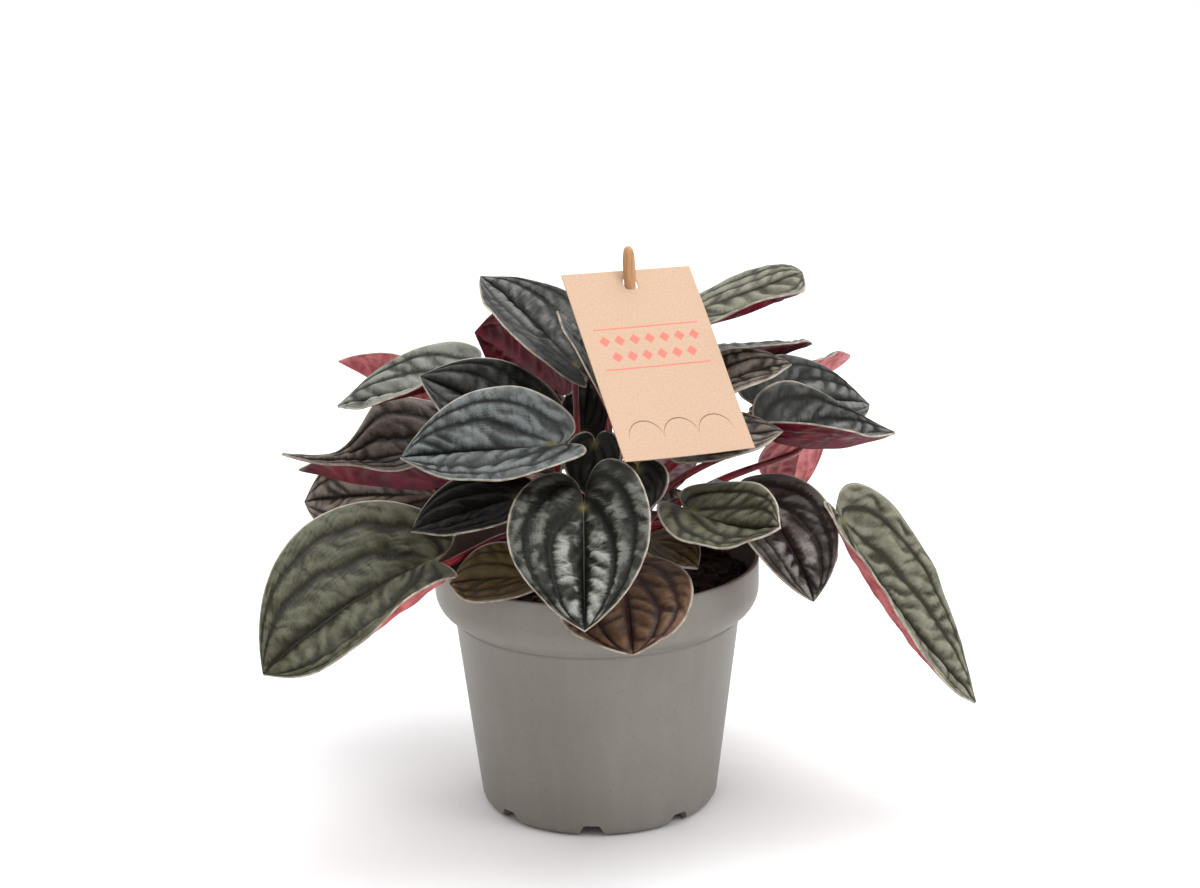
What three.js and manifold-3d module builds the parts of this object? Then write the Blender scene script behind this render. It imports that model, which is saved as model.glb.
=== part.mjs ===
// Potted peperomia: a nursery pot with soil, a rosette of heart-shaped leaves on red stalks,
// and a card label on a wooden stick. Millimetres, +Z up, origin at the middle of the pot's
// underside, and the front of the plant faces -Y.

import * as THREE from 'three';
import { mergeVertices } from 'three/addons/utils/BufferGeometryUtils.js';
import Module from 'manifold-3d';

const wasm = await Module();
wasm.setup();

// Pot
const POT_HEIGHT = 94;
const RIM_RADIUS = 60;
const BAND_HEIGHT = 11; // straight part of the rim band
const SHOULDER_HEIGHT = 10; // from the band in to the wall
const NECK_RADIUS = 53; // wall just below the shoulder
const FOOT_RADIUS = 44.4; // wall carried down to the ground
const FOOT_FILLET = 4;
const WALL = 1.5;
const RIM_EDGE = 0.5; // cut off the rim's outer corner
const POT_SEGMENTS = 40;
const PAD_RADIUS = 12; // middle of the underside, which touches the ground
const CHANNEL_RADIUS = 37; // outer edge of the raised ring around the pad
const CHANNEL_RISE = 5;
const NOTCH_COUNT = 8;
const NOTCH_WIDTH = 11.5; // at its open foot
const NOTCH_TOP = 6; // width at its top
const NOTCH_HEIGHT = 4.6;
const NOTCH_REACH = 35; // radius at which a notch ends under the pot
const FIRST_NOTCH = -94; // degrees from +X

// Soil and crown
const SOIL_TOP = 85;
const SOIL_HEAP = [[46, -0.5], [32, 0.5]]; // radius and height above the soil's level
const CROWN_RADIUS = 19.5;
const CROWN_TOP = 91;
const CROWN_EDGE = 85.5;
const CROWN_FOOT = 78;
const PLACE_COUNT = 44; // places for stalks on the crown
const PLACE_SPACING = 3;
const PLACE_TURN = 137.508; // degrees from each place to the next
const STICK_CLEARANCE = 4.8;
const LEAN_PULL = 20;
const FURTHEST_PLACE = 18;

// Leaves
const BLADE_THICKNESS = 1.2;
const STALK_RADIUS = 1.5;
const BLADE_ROWS = 6; // from stalk to tip
const BLADE_COLUMNS = 6; // from margin to margin
const LOBE_ANGLE = 179; // degrees from the midrib at which a margin leaves the stalk
// A blade is drawn as curves from stalk to tip, whose handles are shares of its length.
const MIDRIB_HANDLES = [0.33, 0.2]; // at the stalk and at the tip
const TIP_HANDLE = 0.95; // of the margin, at the tip
const ANGLE_GROWTH = 0.8; // powers by which angle and handles grow from midrib to margin
const HANDLE_GROWTH = 2.5;
const TAPER_SPAN = [0.2, 0.7]; // where along a blade its tip is drawn out
const STALK_LEAN = 0.2; // of the stalk's foot towards the blade
const STALK_BEHIND = 0.126; // where the stalk comes up to the blade, as shares of its reach
const STALK_BELOW = 0.21;
const STALK_SINK = 0.2; // end of the stalk below the blade's middle surface
const STALK_FOOTING = 1.8; // keeps the whole foot of a stalk clear of the sloping crown
const LATE_SWING = 0.6; // share of a stalk's bow that is left near the blade

// Label and stick
const CARD_WIDTH = 52;
const CARD_HEIGHT = 75;
const CARD_THICKNESS = 0.8;
const CARD_HOLE = { right: 25.8, down: 5.5, radius: 2.6 };
const HOLE_FROM_STICK_TOP = 14;
const STICK_RADIUS = 2.2;
const STICK_HOLE_DEPTH = 4; // of the hole in the soil below the stick's foot
const STICK_TOP = [12.8, -7.5, 210.5];
const STICK_FOOT = [18.5, 8.5, 60];
const CARD_RIGHT = [46, 24.2, -2]; // along the top edge
const CARD_DOWN = [19.8, -45.2, -57];

const GAP = 0.35; // kept between touching pieces

// Each leaf: where its stalk meets the blade, its tip, and its shape. width is across the
// blade; roll turns it about the midrib, fold lifts each half beside the midrib and cup
// lifts the margin further, bend arches the midrib and twist turns the tip, all in degrees.
// A pair gives the left and the right half of a blade whose halves differ. lobe is the reach
// of the lobes behind the stalk, point the half angle at the tip and taper a drawn-out tip;
// rise is how steeply the stalk starts and bow how far it swings sideways.
const USUAL = {
  roll: 0, fold: 14, cup: 8, bend: 28, twist: 0, lobe: 0.68, point: 40, taper: 0, rise: 0.5, bow: 0,
};
const LEAVES = [
  // left, from the top down
  { end: [-7, 2, 165], tip: [-42, 34, 192], width: 43, roll: 5, fold: 18, bend: 5, twist: -5, lobe: 0.62, point: 38 },
  { end: [6, -25, 154], tip: [-13, -1, 186], width: 38, roll: -30, fold: 15, cup: 6, bend: 0, point: 36, bow: 8 },
  { end: [-14, 24, 151], tip: [-46, 66, 164], width: 50, roll: -80, fold: 8, cup: 6, bend: 5, twist: 8, point: 50 },
  { end: [-48, 12, 160], tip: [-95, 14, 148], width: 42, roll: 8, fold: 18, cup: 14, bend: -20, twist: -10,
    lobe: 0.5, point: 32 },
  { end: [-59, 60, 132], tip: [-101, 80, 150], width: 41, roll: -45, fold: 18, bend: 0, point: 34 },
  { end: [-20, -12, 140], tip: [-62, -16, 166], width: 42, roll: 42, fold: 13, bend: 18, twist: -5, point: 48 },
  { end: [-15, -42, 147], tip: [-67, -52, 146], width: 48, roll: 28, fold: 20, bend: -8, twist: -12,
    lobe: [0.62, 0.55], point: 42, bow: -9 },
  { end: [-57, 20, 132], tip: [-114, -4, 135], width: [22, 56], roll: 14, fold: [4, 18], cup: [6, 18],
    bend: -45, lobe: 0.5, taper: 0.78 },
  { end: [-62, 38, 110], tip: [-115, 50, 114], width: 45, roll: -32, fold: 16, bend: -15, point: 38 },
  { end: [-64, 66, 98], tip: [-117, 80, 92], width: 43, roll: 50, fold: 18, bend: 20, twist: -4, point: 60 },
  { end: [-59, -42, 105], tip: [-113, -86, 80], width: [75, 68], roll: 10, fold: [-12, 24], cup: [86, 14],
    bend: 22, twist: -10, lobe: [0.2, 0.68], point: 46, rise: 0.7 },
  { end: [-28, -36, 126], tip: [-64, -54, 120], width: 30, roll: 22, bend: 5, twist: -6 },
  // front
  { end: [-4, -63, 130], tip: [-4, -106, 101], width: [48, 53], roll: -5, bend: 2, twist: -4, lobe: [1.1, 0.9],
    point: 52 },
  { end: [0, -26, 143], tip: [0, -36, 125], width: 22, roll: -15, fold: 12, bend: 15, point: 45 },
  { end: [-23, -43, 99], tip: [-52, -40, 96], width: 28, roll: 32, cup: 6, bend: 10, twist: -10, lobe: 0.6, point: 58 },
  { end: [10, -48, 101], tip: [12, -91, 87], width: 47, roll: -12, fold: 8, cup: 4, bend: 8, twist: -6, point: 70 },
  { end: [21, -26, 106], tip: [36, -35, 99], width: 24, roll: -10, fold: 10, bend: 15, point: 50, bow: -3 },
  { end: [15, -44, 138], tip: [17, -56, 126], width: 20, fold: 10, bend: 20, bow: -3 },
  // right
  { end: [34, -42, 122], tip: [62, -78, 127], width: 38, roll: -16, cup: 10, bend: -35, twist: 20, point: 50, bow: -7 },
  { end: [56, -16, 119], tip: [76, -50, 91], width: 42, roll: 2, fold: 16, cup: 12, bend: 38, twist: 12,
    lobe: 0.76, point: 52 },
  { end: [89, -21, 111], tip: [136, -36, 47], width: [56, 58], roll: -6, fold: [28, -3], cup: [-4, 56],
    bend: -22, twist: -5, lobe: 0.42, point: 31, bow: 5 },
  { end: [63, -10, 141], tip: [111, 10, 136], width: 48, roll: -16, fold: 38, cup: 12, bend: -45, lobe: 0.5, point: 28 },
  { end: [64, 18, 146], tip: [105, 44, 138], width: 39, roll: -35, bend: 15, lobe: 0.62, point: 43, bow: 3 },
  { end: [49, 40, 157], tip: [85, 76, 155], width: 42, roll: 10, bend: -15, point: 37 },
  { end: [71, 58, 141], tip: [102, 94, 145], width: 40, roll: 26, bend: -20, point: 37 },
  { end: [37, -3, 155], tip: [71, -9, 167], width: 30, roll: -26, bend: 12, point: 34, bow: -6 },
  { end: [34, -23, 141], tip: [67, -23, 146], width: 26, roll: -30, fold: 12, cup: 6, bend: 0, point: 36 },
  { end: [29, 16, 180], tip: [77, 18, 195], width: [34, 56], roll: -13, fold: [2, -23], cup: [0, 85],
    bend: -15, lobe: 0.4, point: 85 },
  { end: [77, 28, 129], tip: [76, 54, 99], width: 29, roll: 22, fold: 12, bend: 0, twist: 10, point: 50, bow: -9 },
  // back and middle
  { end: [-20, 46, 128], tip: [-44, 92, 118], width: 38 },
  { end: [4, 40, 150], tip: [0, 96, 146], width: 42 },
  { end: [22, 43, 130], tip: [42, 94, 119], width: 42 },
  { end: [-16, 56, 112], tip: [-34, 104, 86], width: 40 },
  { end: [18, 52, 116], tip: [32, 104, 88], width: 38 },
  { end: [30, 38, 103], tip: [46, 87, 82], width: 36 },
  { end: [58, 8, 101], tip: [92, 36, 77], width: 32 },
  { end: [-4, 10, 137], tip: [-2, 22, 155], width: 20, fold: 12, bend: 15, point: 45 },
].map((leaf) => ({ ...USUAL, ...leaf }));

const radians = THREE.MathUtils.degToRad;
const vector = (xyz) => new THREE.Vector3(...xyz);

const MATERIALS = {
  pot: new THREE.MeshStandardMaterial({ color: 0x89857c, roughness: 0.55, metalness: 0 }),
  soil: new THREE.MeshStandardMaterial({ color: 0x2a201a, roughness: 1, metalness: 0 }),
  crown: new THREE.MeshStandardMaterial({ color: 0x6b2a2c, roughness: 0.6, metalness: 0 }),
  leaf: new THREE.MeshStandardMaterial({ color: 0x4a5449, roughness: 0.5, metalness: 0 }),
  card: new THREE.MeshStandardMaterial({ color: 0xf0cba8, roughness: 0.9, metalness: 0 }),
  stick: new THREE.MeshStandardMaterial({ color: 0xc8a070, roughness: 0.8, metalness: 0 }),
};

// Solids --------------------------------------------------------------------------------

function toManifold(geometry) {
  const bare = geometry.clone();
  bare.deleteAttribute('normal');
  bare.deleteAttribute('uv');
  const merged = mergeVertices(bare, 1e-4);
  const mesh = new wasm.Mesh({
    numProp: 3,
    vertProperties: new Float32Array(merged.attributes.position.array),
    triVerts: new Uint32Array(merged.index.array),
  });
  return new wasm.Manifold(mesh);
}

function toGeometry(solid) {
  const mesh = solid.getMesh();
  const geometry = new THREE.BufferGeometry();
  geometry.setAttribute('position', new THREE.BufferAttribute(new Float32Array(mesh.vertProperties), 3));
  geometry.setIndex(new THREE.BufferAttribute(new Uint32Array(mesh.triVerts), 1));
  return geometry;
}

function named(name, geometry, material) {
  const mesh = new THREE.Mesh(geometry, material.clone());
  mesh.name = name;
  return mesh;
}

function turned(profile, segments) {
  const points = profile.map(([radius, height]) => new THREE.Vector2(radius, height));
  return new THREE.LatheGeometry(points, segments).rotateX(Math.PI / 2);
}

function tube(path, radius, sides, steps) {
  const section = new THREE.Shape();
  for (let k = 0; k < sides; k += 1) {
    const angle = (2 * Math.PI * k) / sides;
    const point = [radius * Math.cos(angle), radius * Math.sin(angle)];
    if (k === 0) section.moveTo(...point);
    else section.lineTo(...point);
  }
  section.closePath();
  return new THREE.ExtrudeGeometry(section, { steps, extrudePath: path });
}

// Pot -----------------------------------------------------------------------------------

const SHOULDER_TOP = POT_HEIGHT - BAND_HEIGHT;
const NECK = SHOULDER_TOP - SHOULDER_HEIGHT;

function potProfile(inset) {
  // one face of the pot wall from the foot to the rim, moved inwards by inset
  const points = [[FOOT_RADIUS - FOOT_FILLET, inset]];
  for (const angle of [30, 60, 90]) {
    const turn = radians(angle);
    const reach = FOOT_FILLET - inset;
    points.push([
      FOOT_RADIUS - FOOT_FILLET + reach * Math.sin(turn),
      FOOT_FILLET - reach * Math.cos(turn),
    ]);
  }
  points.push([NECK_RADIUS - inset, NECK]);
  for (const angle of [20, 55, 90]) {
    const turn = radians(angle);
    points.push([
      NECK_RADIUS + (RIM_RADIUS - NECK_RADIUS) * Math.sin(turn) - inset,
      SHOULDER_TOP - (SHOULDER_HEIGHT - 1) * Math.cos(turn) + inset * 0.4 * Math.cos(turn),
    ]);
  }
  return points;
}

function insideProfile(inset) {
  // the stretch of such a face that stands above the pot's floor
  const foot = CHANNEL_RISE + inset;
  return [[FOOT_RADIUS - inset, foot], ...potProfile(inset).filter(([, height]) => height > foot)];
}

function buildPot() {
  const underside = [
    [0, 0],
    [PAD_RADIUS, 0],
    [PAD_RADIUS + 2, CHANNEL_RISE],
    [CHANNEL_RADIUS, CHANNEL_RISE],
    [CHANNEL_RADIUS + 2, 0],
  ];
  const rim = [
    [RIM_RADIUS, POT_HEIGHT - 2 * RIM_EDGE],
    [RIM_RADIUS - RIM_EDGE, POT_HEIGHT],
    [RIM_RADIUS - WALL, POT_HEIGHT],
  ];
  const floor = [
    [PAD_RADIUS + 1, CHANNEL_RISE + WALL],
    [PAD_RADIUS - 1, WALL],
    [0, WALL],
  ];
  const profile = [...underside, ...potProfile(0), ...rim, ...insideProfile(WALL).reverse(), ...floor];
  let pot = toManifold(turned(profile, POT_SEGMENTS));
  for (let k = 0; k < NOTCH_COUNT; k += 1) {
    pot = pot.subtract(notch(FIRST_NOTCH + (360 * k) / NOTCH_COUNT));
  }
  return named('pot', toGeometry(pot), MATERIALS.pot);
}

function notch(degrees) {
  // an arch cut through the foot, open below, which drains the pot
  const arch = new THREE.Shape();
  arch.moveTo(-NOTCH_WIDTH / 2, -1);
  arch.lineTo(NOTCH_WIDTH / 2, -1);
  arch.lineTo(NOTCH_TOP / 2, NOTCH_HEIGHT);
  arch.lineTo(-NOTCH_TOP / 2, NOTCH_HEIGHT);
  arch.closePath();
  const cutter = new THREE.ExtrudeGeometry(arch, { depth: FOOT_RADIUS - NOTCH_REACH + 4, bevelEnabled: false });
  cutter.rotateX(Math.PI / 2).rotateZ(Math.PI / 2).translate(NOTCH_REACH, 0, 0);
  cutter.rotateZ(radians(degrees));
  return toManifold(cutter);
}

// Soil and crown ------------------------------------------------------------------------

function buildSoil() {
  const wallFace = insideProfile(WALL + GAP).filter(([, height]) => height < SOIL_TOP);
  const bed = [
    [0, WALL + GAP],
    [PAD_RADIUS - 1.5, WALL + GAP],
    [PAD_RADIUS + 0.5, CHANNEL_RISE + WALL + GAP],
  ];
  const surface = [
    [RIM_RADIUS - WALL - GAP, SOIL_TOP - 1],
    ...SOIL_HEAP.map(([radius, height]) => [radius, SOIL_TOP + height]),
    [CROWN_RADIUS + GAP, SOIL_TOP],
    [CROWN_RADIUS + GAP, CROWN_FOOT - GAP],
    [0, CROWN_FOOT - GAP],
  ];
  let soil = toManifold(turned([...bed, ...wallFace, ...surface], POT_SEGMENTS / 2));
  soil = soil.subtract(stickHole());
  return named('soil', toGeometry(soil), MATERIALS.soil);
}

function crownHeight(radius) {
  return CROWN_TOP - (CROWN_TOP - CROWN_EDGE) * (radius / CROWN_RADIUS) ** 2;
}

function buildCrown() {
  const dome = [1, 0.75, 0.5, 0.25, 0].map((part) => [part * CROWN_RADIUS, crownHeight(part * CROWN_RADIUS)]);
  let crown = toManifold(turned([[0, CROWN_FOOT], [CROWN_RADIUS, CROWN_FOOT], ...dome], POT_SEGMENTS / 2));
  crown = crown.subtract(stickHole());
  return named('crown', toGeometry(crown), MATERIALS.crown);
}

// Leaves --------------------------------------------------------------------------------

function outline(along, across, lobe, point) {
  // blade laid flat, stalk at (0, 0) and tip at (1, 0); across runs from -1 to 1
  const part = Math.abs(across);
  const leave = radians(LOBE_ANGLE) * part ** ANGLE_GROWTH;
  const arrive = radians(point) * part;
  const widening = part ** HANDLE_GROWTH;
  const first = MIDRIB_HANDLES[0] + (lobe - MIDRIB_HANDLES[0]) * widening;
  const second = MIDRIB_HANDLES[1] + (TIP_HANDLE - MIDRIB_HANDLES[1]) * widening;
  const rest = 1 - along;
  const near = 3 * rest * rest * along;
  const far = 3 * rest * along * along;
  const x = near * first * Math.cos(leave) + far * (1 - second * Math.cos(arrive)) + along ** 3;
  const y = near * first * Math.sin(leave) + far * second * Math.sin(arrive);
  return [x, Math.sign(across) * y];
}

function halfWidth(lobe, point) {
  let widest = 0;
  for (let k = 0; k <= 100; k += 1) widest = Math.max(widest, outline(k / 100, 1, lobe, point)[1]);
  return widest;
}

function bladeAxes(leaf) {
  const end = vector(leaf.end);
  const forward = vector(leaf.tip).sub(end);
  const length = forward.length();
  forward.normalize();
  const upright = new THREE.Vector3(0, 0, 1).addScaledVector(forward, -forward.z).normalize();
  const left = new THREE.Vector3().crossVectors(upright, forward);
  const roll = radians(leaf.roll);
  const up = upright.multiplyScalar(Math.cos(roll)).addScaledVector(left, Math.sin(roll));
  const side = new THREE.Vector3().crossVectors(up, forward);
  return { end, forward, up, side, length };
}

function bladeHalves(leaf) {
  // the left and the right half of the blade, seen from the stalk, which differ in a few leaves
  return [0, 1].map((index) => {
    const own = (value) => (Array.isArray(value) ? value[index] : value);
    const half = own(leaf.width) / 2;
    const lobe = own(leaf.lobe);
    return {
      lobe,
      spread: half / halfWidth(lobe, leaf.point),
      fold: radians(own(leaf.fold)),
      cup: (radians(own(leaf.cup)) || 1e-4) / half,
    };
  });
}

function bladeShaper(leaf) {
  // gives the point of the blade at (along, across), lifted off its middle surface
  const { end, forward, up, side, length } = bladeAxes(leaf);
  const sides = bladeHalves(leaf);
  const bend = radians(leaf.bend) || 1e-4;
  const curve = bend / length;
  const chord = length / ((2 * Math.sin(bend / 2)) / curve);
  return (along, across, lift) => {
    const { lobe, spread, fold, cup } = sides[across > 0 ? 0 : 1];
    const [x, y] = outline(along, across, lobe, leaf.point);
    const distance = x * length;
    const slope = bend / 2 - curve * distance;
    const reach = (chord * (Math.sin(bend / 2) - Math.sin(slope))) / curve;
    const height = (chord * (Math.cos(slope) - Math.cos(bend / 2))) / curve;
    const narrowing = 1 - leaf.taper * THREE.MathUtils.smoothstep(x, ...TAPER_SPAN);
    const flat = Math.abs(y) * spread * narrowing;
    const steep = fold + cup * flat;
    const out = (Math.sign(y) * (Math.sin(steep) - Math.sin(fold))) / cup;
    const rise = (Math.cos(fold) - Math.cos(steep)) / cup + lift;
    const twist = radians(leaf.twist) * Math.max(x, -0.3);
    const sideways = out * Math.cos(twist) - rise * Math.sin(twist);
    const upwards = out * Math.sin(twist) + rise * Math.cos(twist);
    return end.clone()
      .addScaledVector(forward, reach - upwards * Math.sin(slope))
      .addScaledVector(up, height + upwards * Math.cos(slope))
      .addScaledVector(side, sideways);
  };
}

function bladeSolid(leaf) {
  const place = bladeShaper(leaf);
  const positions = [];
  const triangles = [];
  const add = (along, across, lift) => positions.push(...place(along, across, lift).toArray()) / 3 - 1;
  const layers = [BLADE_THICKNESS / 2, -BLADE_THICKNESS / 2].map((lift) => {
    const start = add(0, 0, lift);
    const rows = [];
    for (let i = 1; i < BLADE_ROWS; i += 1) {
      const row = [];
      for (let j = 0; j <= BLADE_COLUMNS; j += 1) row.push(add(i / BLADE_ROWS, (2 * j) / BLADE_COLUMNS - 1, lift));
      rows.push(row);
    }
    return { start, rows, finish: add(1, 0, lift) };
  });
  layers.forEach(({ start, rows, finish }, layer) => {
    const face = layer === 0 ? (a, b, c) => triangles.push(a, b, c) : (a, b, c) => triangles.push(a, c, b);
    for (let j = 0; j < BLADE_COLUMNS; j += 1) {
      face(start, rows[0][j], rows[0][j + 1]);
      for (let i = 0; i + 1 < rows.length; i += 1) {
        face(rows[i][j], rows[i + 1][j], rows[i + 1][j + 1]);
        face(rows[i][j], rows[i + 1][j + 1], rows[i][j + 1]);
      }
      face(rows[rows.length - 1][j], finish, rows[rows.length - 1][j + 1]);
    }
  });
  const edge = (layer, j) => [layer.start, ...layer.rows.map((row) => row[j]), layer.finish];
  for (const [j, flip] of [[0, false], [BLADE_COLUMNS, true]]) {
    const above = edge(layers[0], j);
    const below = edge(layers[1], j);
    for (let k = 0; k + 1 < above.length; k += 1) {
      const quad = [above[k], below[k], below[k + 1], above[k + 1]];
      if (flip) quad.reverse();
      triangles.push(quad[0], quad[1], quad[2], quad[0], quad[2], quad[3]);
    }
  }
  const geometry = new THREE.BufferGeometry();
  geometry.setAttribute('position', new THREE.Float32BufferAttribute(positions, 3));
  geometry.setIndex(triangles);
  return toManifold(geometry);
}

function stalkPath(leaf, [x, y]) {
  // rises from its place on the crown and comes up to the blade from behind and below
  const { end, forward, up } = bladeAxes(leaf);
  const tilt = radians(leaf.bend) / 2;
  const along = forward.clone().multiplyScalar(Math.cos(tilt)).addScaledVector(up, Math.sin(tilt));
  const above = forward.clone().multiplyScalar(-Math.sin(tilt)).addScaledVector(up, Math.cos(tilt));
  const radius = Math.hypot(x, y);
  const start = new THREE.Vector3(x, y, crownHeight(Math.max(radius - STALK_FOOTING, 0)) + GAP);
  const way = end.clone().sub(start);
  const reach = way.length();
  const swing = new THREE.Vector3(-way.y, way.x, 0).normalize().multiplyScalar(leaf.bow);
  const first = start.clone().addScaledVector(new THREE.Vector3(0, 0, 1), reach * leaf.rise);
  first.x += way.x * STALK_LEAN * leaf.rise;
  first.y += way.y * STALK_LEAN * leaf.rise;
  first.add(swing);
  const second = end.clone().addScaledVector(swing, LATE_SWING);
  second.addScaledVector(along, -STALK_BEHIND * reach).addScaledVector(above, -STALK_BELOW * reach);
  const finish = end.clone().addScaledVector(above, -STALK_SINK);
  return new THREE.CubicBezierCurve3(start, first, second, finish);
}

function crownPlaces(count) {
  // a spiral like that of a seed head, so that the stalks stand evenly apart, clear of the stick
  const top = vector(STICK_TOP);
  const foot = vector(STICK_FOOT);
  const stick = top.clone().lerp(foot, (top.z - CROWN_TOP) / (top.z - foot.z));
  const places = [];
  for (let k = 0; k < count; k += 1) {
    const radius = PLACE_SPACING * Math.sqrt(k + 0.5);
    const angle = radians(PLACE_TURN) * k;
    const place = [radius * Math.cos(angle), radius * Math.sin(angle)];
    if (Math.hypot(place[0] - stick.x, place[1] - stick.y) > STICK_CLEARANCE) places.push(place);
  }
  return places;
}

function placedLeaves() {
  // the leaves that lean out furthest choose first, each the free place nearest its own side
  const free = crownPlaces(PLACE_COUNT);
  const order = LEAVES.map((leaf, index) => ({ leaf, name: `leaf_${String(index + 1).padStart(2, '0')}` }));
  const reach = ({ leaf }) => Math.hypot(leaf.end[0], leaf.end[1]);
  const lean = (item) => reach(item) / (item.leaf.end[2] - SOIL_TOP);
  const byLean = [...order].sort((a, b) => lean(b) - lean(a));
  for (const item of byLean) {
    const pull = Math.min(LEAN_PULL * lean(item), FURTHEST_PLACE) / reach(item);
    const wish = [item.leaf.end[0] * pull, item.leaf.end[1] * pull];
    const far = ([x, y]) => Math.hypot(x - wish[0], y - wish[1]);
    const nearest = free.reduce((best, place) => (far(place) < far(best) ? place : best));
    free.splice(free.indexOf(nearest), 1);
    item.place = nearest;
  }
  return order;
}

function buildLeaf({ leaf, name, place }) {
  const stalk = toManifold(tube(stalkPath(leaf, place), STALK_RADIUS, 5, 6));
  return named(name, toGeometry(bladeSolid(leaf).add(stalk)), MATERIALS.leaf);
}

// Label ---------------------------------------------------------------------------------

function stickTube(radius, below = 0) {
  const top = vector(STICK_TOP);
  const foot = vector(STICK_FOOT);
  foot.addScaledVector(foot.clone().sub(top).normalize(), below);
  return tube(new THREE.LineCurve3(foot, top), radius, 10, 1);
}

function stickHole() {
  return toManifold(stickTube(STICK_RADIUS + GAP, STICK_HOLE_DEPTH));
}

function buildStick() {
  return named('label_stick', toGeometry(toManifold(stickTube(STICK_RADIUS))), MATERIALS.stick);
}

function cardFrame() {
  const right = vector(CARD_RIGHT).normalize();
  const down = vector(CARD_DOWN);
  down.addScaledVector(right, -down.dot(right)).normalize();
  return { right, down, out: new THREE.Vector3().crossVectors(down, right) };
}

function buildCard() {
  const { right, down, out } = cardFrame();
  const top = vector(STICK_TOP);
  const foot = vector(STICK_FOOT);
  const hole = top.clone().lerp(foot, HOLE_FROM_STICK_TOP / top.distanceTo(foot));
  const corner = hole.clone().addScaledVector(right, -CARD_HOLE.right).addScaledVector(down, -CARD_HOLE.down);
  const sheet = new THREE.BoxGeometry(CARD_WIDTH, CARD_HEIGHT, CARD_THICKNESS);
  sheet.translate(CARD_WIDTH / 2, CARD_HEIGHT / 2, 0);
  sheet.applyMatrix4(new THREE.Matrix4().makeBasis(right, down, out.clone().negate()).setPosition(corner));
  const passage = stickTube(CARD_HOLE.radius);
  return named('label_card', toGeometry(toManifold(sheet).subtract(toManifold(passage))), MATERIALS.card);
}

// Assembly ------------------------------------------------------------------------------

const plant = new THREE.Group();
plant.add(buildPot(), buildSoil(), buildCrown());
for (const item of placedLeaves()) plant.add(buildLeaf(item));
plant.add(buildStick(), buildCard());

export default plant;
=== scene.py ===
"""Potted peperomia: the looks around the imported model, in metres, +Z up, front towards -Y."""

from contextlib import contextmanager
from dataclasses import dataclass
from math import cos, dist, hypot, pi, radians, sin, sqrt

import bmesh
import bpy
import numpy as np
from mathutils import Matrix, Vector


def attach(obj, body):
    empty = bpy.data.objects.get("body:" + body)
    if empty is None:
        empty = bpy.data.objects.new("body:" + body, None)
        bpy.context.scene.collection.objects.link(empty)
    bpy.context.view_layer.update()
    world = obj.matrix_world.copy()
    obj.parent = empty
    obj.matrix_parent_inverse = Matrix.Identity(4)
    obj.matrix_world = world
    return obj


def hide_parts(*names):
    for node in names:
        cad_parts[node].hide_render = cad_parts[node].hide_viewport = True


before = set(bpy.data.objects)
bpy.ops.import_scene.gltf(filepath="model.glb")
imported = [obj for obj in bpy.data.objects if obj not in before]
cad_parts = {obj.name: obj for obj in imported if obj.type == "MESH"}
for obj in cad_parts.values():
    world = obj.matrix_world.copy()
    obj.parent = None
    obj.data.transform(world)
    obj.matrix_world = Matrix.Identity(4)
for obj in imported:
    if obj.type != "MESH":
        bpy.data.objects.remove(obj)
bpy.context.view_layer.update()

MM = 0.001

# Pot, soil, crown, label and stick, in millimetres and degrees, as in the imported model
POT_HEIGHT = 94
RIM_RADIUS = 60
BAND_HEIGHT = 11
SHOULDER_HEIGHT = 10
NECK_RADIUS = 53
FOOT_RADIUS = 44.4
FOOT_FILLET = 4
WALL = 1.5
PAD_RADIUS = 12
CHANNEL_RADIUS = 37
CHANNEL_RISE = 5
NOTCH_COUNT = 8
NOTCH_WIDTH = 11.5
NOTCH_TOP = 6
NOTCH_HEIGHT = 4.6
NOTCH_REACH = 35
FIRST_NOTCH = -94
SOIL_TOP = 85
CROWN_RADIUS = 19.5
CROWN_TOP = 91
CROWN_EDGE = 85.5
CROWN_FOOT = 78
PLACE_COUNT = 44
PLACE_SPACING = 3
PLACE_TURN = 137.508
STICK_CLEARANCE = 4.8
LEAN_PULL = 20
FURTHEST_PLACE = 18
CARD_WIDTH = 52
CARD_HEIGHT = 75
CARD_THICKNESS = 0.8
CARD_HOLE = (25.8, 5.5)
HOLE_FROM_STICK_TOP = 14
STICK_RADIUS = 2.2
STICK_TOP = np.array([12.8, -7.5, 210.5])
STICK_FOOT = np.array([18.5, 8.5, 60.0])
CARD_RIGHT = np.array([46, 24.2, -2.0])
CARD_DOWN = np.array([19.8, -45.2, -57.0])
GAP = 0.35

# Blades
BLADE_THICKNESS = 1.0
LOBE_ANGLE = 179
MIDRIB_HANDLES = (0.33, 0.2)
TIP_HANDLE = 0.95
TAPER_SPAN = (0.2, 0.7)
LEAST_TURN = 1e-4
STALK_LEAN = 0.2
STALK_BEHIND = 0.126
STALK_BELOW = 0.21
STALK_FOOTING = 1.8
LATE_SWING = 0.6
ROWS = 60
COLUMNS = 72
EVENNESS = 0.45
LEAF_SEED = 500
KEEL_DEPTH = 1.1
KEEL_WIDTH = 1.3
RIM_ROUNDING = 0.35

# Relief of a blade
VEINS = np.array([0.0, 0.44, 0.76, 1.0])
VEIN_WANDER = 0.055
VEIN_PERIOD = 24
DIMPLE_PERIOD = 7.2
DIMPLE_SLANT = 0.8
DIMPLE_WOBBLE = 4.2
DIMPLE_DEPTH = 0.66
RIDGE_SLOPE = 0.24
RIDGE_HEIGHT = 2.6
WAVE_HEIGHT = 1.1
WAVE_PERIOD = 26
SWELL_HEIGHT = 0.35
SWELL_PERIOD = 18

# Stalk, with the radius at its foot
STALK_STEPS = 34
STALK_SIDES = 14
STALK_RADIUS = 1.62
STALK_THINNING = 0.42
STALK_DEPTH = 2.4
STALK_TIP = (0.97, 0.88, 0.7, 0.4)

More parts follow.
